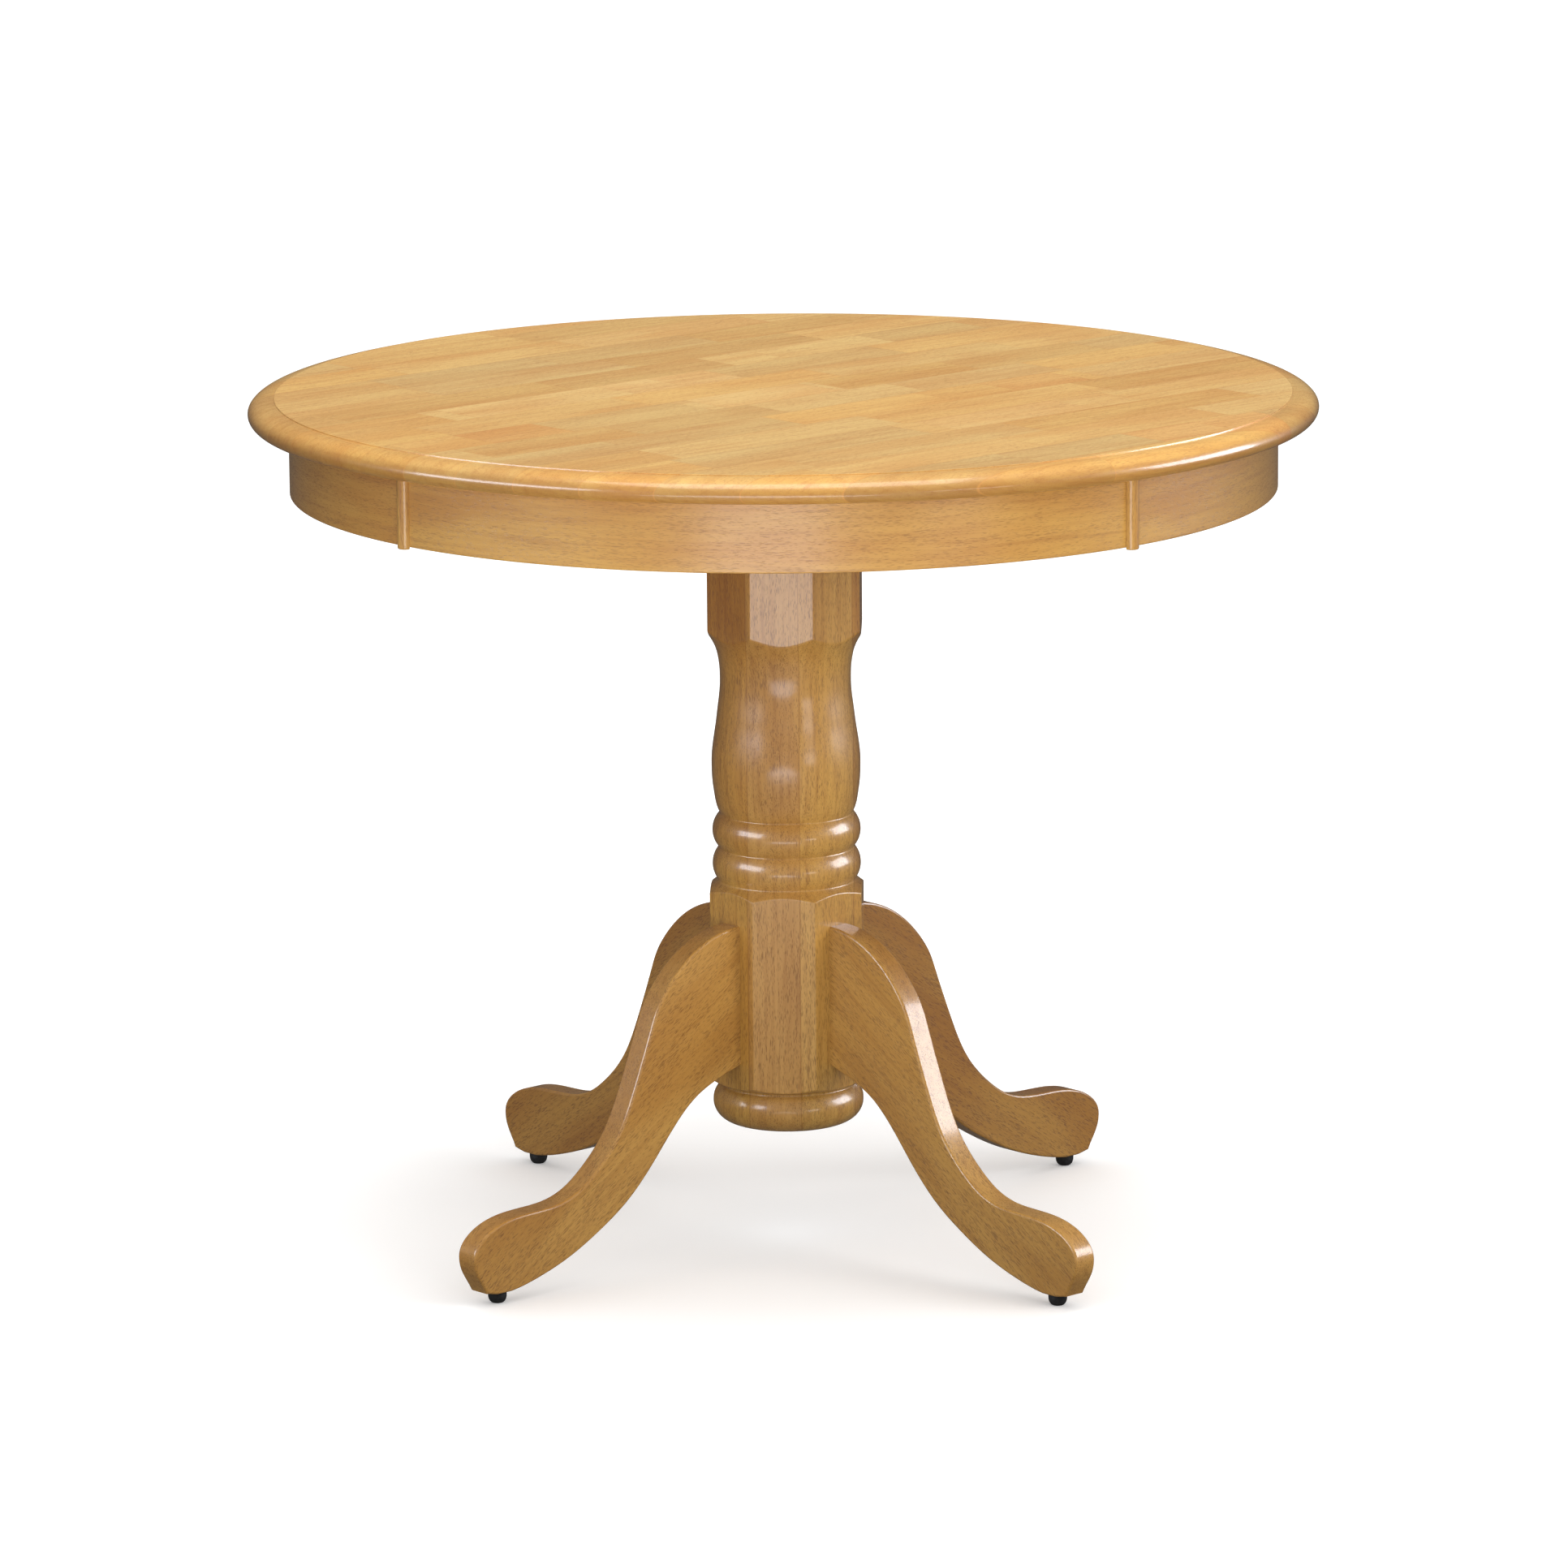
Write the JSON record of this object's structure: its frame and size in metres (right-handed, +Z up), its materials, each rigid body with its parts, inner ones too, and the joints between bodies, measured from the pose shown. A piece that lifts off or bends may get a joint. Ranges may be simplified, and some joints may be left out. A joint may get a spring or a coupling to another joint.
{
  "type": "round pedestal table",
  "caption": "Round wooden pedestal dining table with a beaded apron, an octagonal turned column and flat sawn ogee legs on plastic glides.",
  "frame": {"origin": "on the floor under the middle of the column", "axes": "+Z up along the column; the front of the table faces -Y; the legs stand on the four diagonals"},
  "size_m": [0.9143, 0.9144, 0.743],
  "materials": {
    "top_wood": "light honey hardwood under a clear gloss lacquer",
    "apron_wood": "honey hardwood under a clear gloss lacquer",
    "column_wood": "glued-up turned hardwood under a clear gloss lacquer",
    "leg_wood": "sawn hardwood with open pores under a clear gloss lacquer",
    "frame_wood": "bare planed hardwood",
    "dowel_wood": "fluted bare beech",
    "screw_steel": "yellow zinc plated",
    "zinc_steel": "bright zinc plated",
    "glide_plastic": "black moulded"
  },
  "bodies": {
    "root": {"apron_bead_front_left": "apron_wood", "apron_bead_front_right": "apron_wood", "apron_bead_rear_left": "apron_wood", "apron_bead_rear_right": "apron_wood", "apron_block_front_left": "frame_wood", "apron_block_front_right": "frame_wood", "apron_block_rear_left": "frame_wood", "apron_block_rear_right": "frame_wood", "apron_block_side_screws": "screw_steel", "apron_block_top_screws": "screw_steel", "apron_front": "apron_wood", "apron_left": "apron_wood", "apron_rear": "apron_wood", "apron_right": "apron_wood", "column_lag_screws": "zinc_steel", "column_lag_washers": "zinc_steel", "cross_rail_lower": "frame_wood", "cross_rail_upper": "frame_wood", "glide_front_left": "glide_plastic", "glide_front_right": "glide_plastic", "glide_nails": "zinc_steel", "glide_rear_left": "glide_plastic", "glide_rear_right": "glide_plastic", "leg_bolt_nuts": "zinc_steel", "leg_bolt_washers": "zinc_steel", "leg_dowels": "dowel_wood", "leg_front_left": "leg_wood", "leg_front_right": "leg_wood", "leg_hanger_bolts": "zinc_steel", "leg_rear_left": "leg_wood", "leg_rear_right": "leg_wood", "pedestal_column": "column_wood", "rail_to_top_screws": "screw_steel", "tabletop": "top_wood"}
  },
  "joints": []
}
